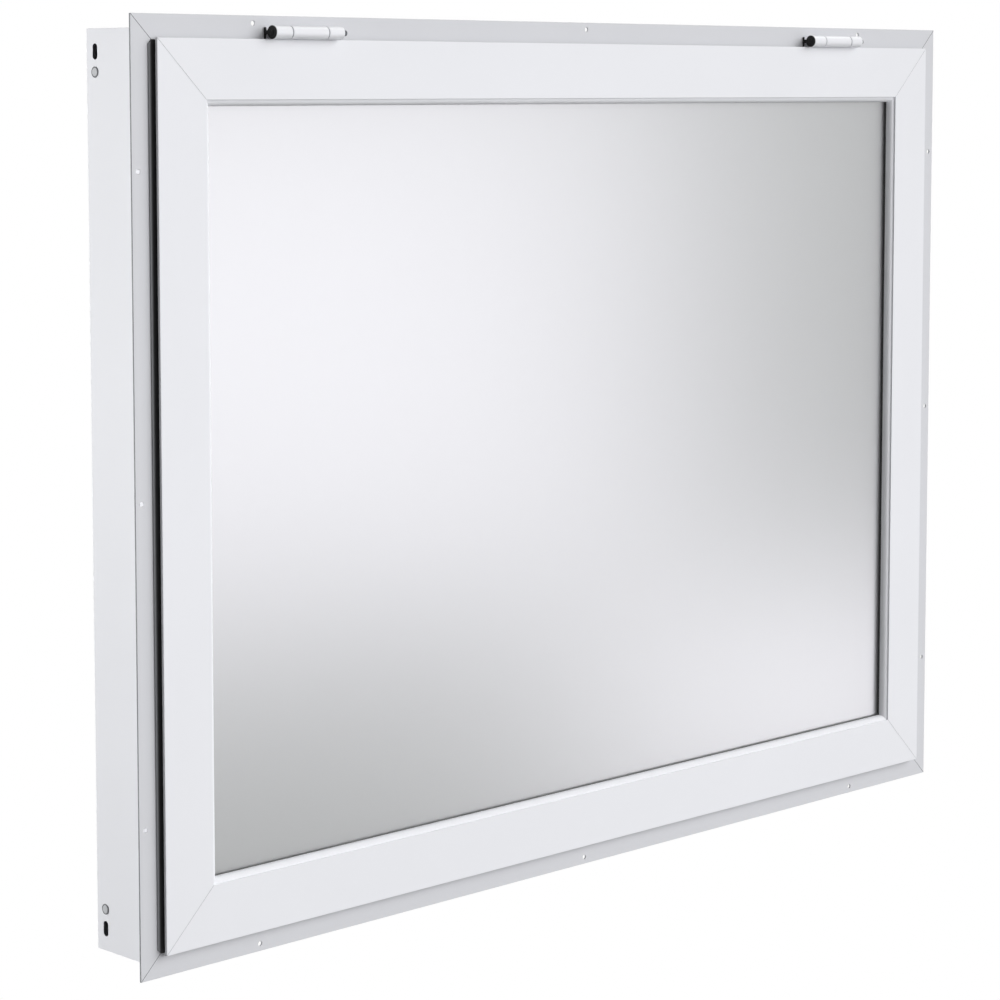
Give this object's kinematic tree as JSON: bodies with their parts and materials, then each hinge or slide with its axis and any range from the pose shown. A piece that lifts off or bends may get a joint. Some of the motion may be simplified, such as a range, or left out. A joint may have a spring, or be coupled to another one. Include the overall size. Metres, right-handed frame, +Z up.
{
  "type": "concession window",
  "caption": "Wall-mounted serving window: a flanged aluminium frame with a glazed awning door that swings out and up on barrel hinges at its head.",
  "frame": {"origin": "on the back of the sill's flange, at mid width, where it meets the underside of the frame box", "axes": "+X along the wall, to the right seen from outside; +Y into the building; +Z up"},
  "size_m": [1.246, 0.1063, 0.9412],
  "materials": {
    "white_powder_coat": "satin",
    "seal_rubber": "matte",
    "glazing_rubber": "matte",
    "float_glass": "satin",
    "pin_steel": "satin",
    "black_nylon": "satin",
    "latch_metal": "satin"
  },
  "bodies": {
    "frame": {"frame_head": "white_powder_coat", "frame_sill": "white_powder_coat", "frame_jamb_left": "white_powder_coat", "frame_jamb_right": "white_powder_coat", "seal_top": "seal_rubber", "seal_bottom": "seal_rubber", "seal_left": "seal_rubber", "seal_right": "seal_rubber", "hinge_left_plate": "white_powder_coat", "hinge_right_plate": "white_powder_coat", "hinge_left_pin": "pin_steel", "hinge_right_pin": "pin_steel", "hinge_left_cap": "black_nylon", "hinge_right_cap": "black_nylon", "latch_keeper_left": "latch_metal", "latch_keeper_right": "latch_metal"},
    "awning_door": {"door_rail_top": "white_powder_coat", "door_rail_bottom": "white_powder_coat", "door_stile_left": "white_powder_coat", "door_stile_right": "white_powder_coat", "door_glass": "float_glass", "gasket_outer_top": "glazing_rubber", "gasket_outer_bottom": "glazing_rubber", "gasket_outer_left": "glazing_rubber", "gasket_outer_right": "glazing_rubber", "gasket_inner_top": "glazing_rubber", "gasket_inner_bottom": "glazing_rubber", "gasket_inner_left": "glazing_rubber", "gasket_inner_right": "glazing_rubber", "glazing_bead_top": "white_powder_coat", "glazing_bead_bottom": "white_powder_coat", "glazing_bead_left": "white_powder_coat", "glazing_bead_right": "white_powder_coat", "hinge_left_leaf": "white_powder_coat", "hinge_right_leaf": "white_powder_coat", "latch_left": "latch_metal", "latch_right": "latch_metal"}
  },
  "joints": [
    {"name": "door_hinge", "type": "hinge", "parent": "frame", "child": "awning_door", "pos_m": [0, -0.014, 0.9116], "axis": [-1, 0, 0], "range_deg": [0, 85]}
  ]
}
